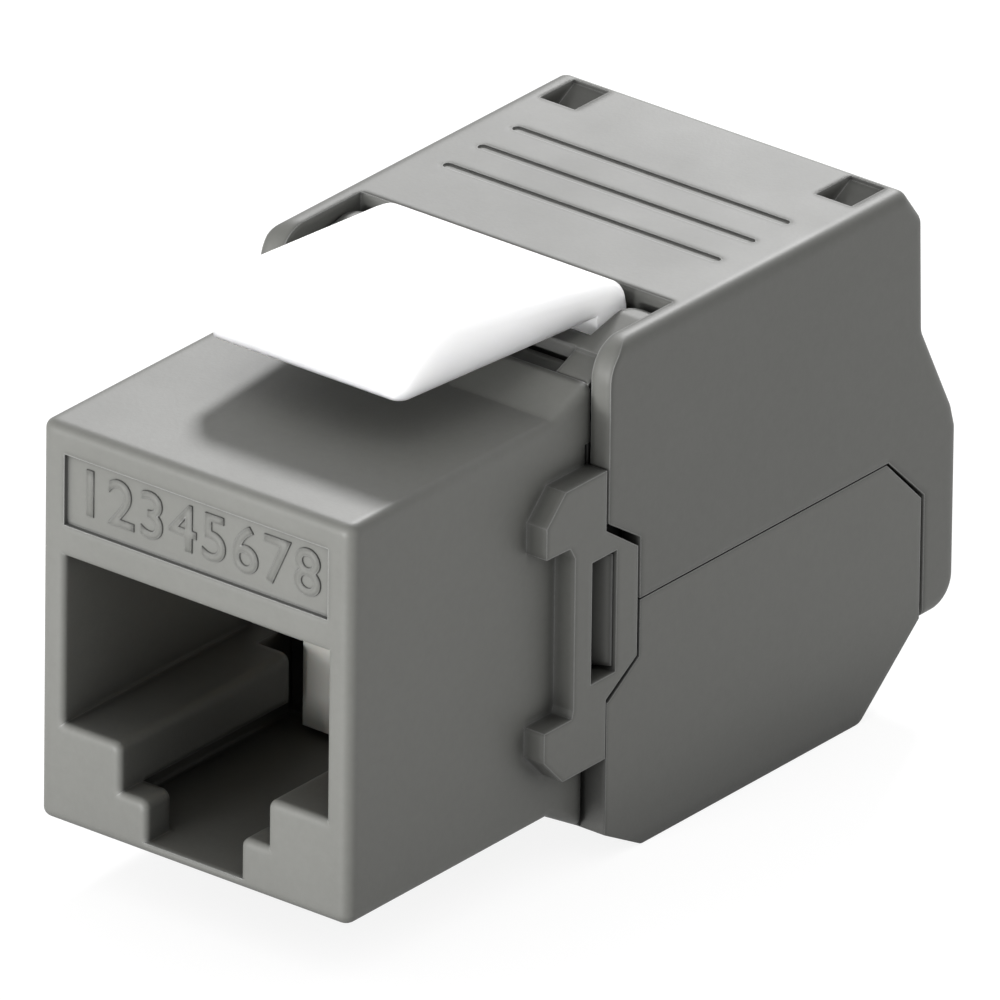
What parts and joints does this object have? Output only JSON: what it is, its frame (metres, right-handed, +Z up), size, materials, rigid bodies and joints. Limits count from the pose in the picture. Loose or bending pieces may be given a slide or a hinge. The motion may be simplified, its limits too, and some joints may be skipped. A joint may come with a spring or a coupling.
{
  "type": "keystone jack",
  "caption": "Grey keystone jack with an eight-position plug port in front, a white sprung panel latch on top and a press-down wire cover behind.",
  "frame": {"origin": "centre of the bounding box on the surface the jack lies on, with every joint at 0", "axes": "-Y out of the plug port, +Y towards the cable entry, +Z up through the panel latch and the cover, +X to the right seen from the front"},
  "size_m": [0.0164, 0.0348, 0.0225],
  "materials": {
    "grey_plastic": "fine satin",
    "white_plastic": "satin",
    "pale_nylon": "satin",
    "board_laminate": "solder mask",
    "contact_gold": "gold plated",
    "terminal_tin": "tin plated"
  },
  "bodies": {
    "base": {"front_housing": "grey_plastic", "contact_carrier": "pale_nylon", "lower_body": "grey_plastic", "circuit_board": "board_laminate", "idc_block": "pale_nylon", "contact_1": "contact_gold", "contact_2": "contact_gold", "contact_3": "contact_gold", "contact_4": "contact_gold", "contact_5": "contact_gold", "contact_6": "contact_gold", "contact_7": "contact_gold", "contact_8": "contact_gold", "idc_terminal_1": "terminal_tin", "idc_terminal_2": "terminal_tin", "idc_terminal_3": "terminal_tin", "idc_terminal_4": "terminal_tin", "idc_terminal_5": "terminal_tin", "idc_terminal_6": "terminal_tin", "idc_terminal_7": "terminal_tin", "idc_terminal_8": "terminal_tin"},
    "cover": {"upper_cover": "grey_plastic", "wire_cap": "grey_plastic"},
    "latch": {"panel_latch": "white_plastic"}
  },
  "joints": [
    {"name": "latch_hinge", "type": "hinge", "parent": "base", "child": "latch", "pos_m": [0, -0.00022, 0.01875], "axis": [1, 0, 0], "range_deg": [0, 9], "stiffness_Nm_per_rad": 0.1},
    {"name": "cover_slide", "type": "slide", "parent": "base", "child": "cover", "axis": [0, 0, 1], "range_m": [0, 0.007]}
  ]
}
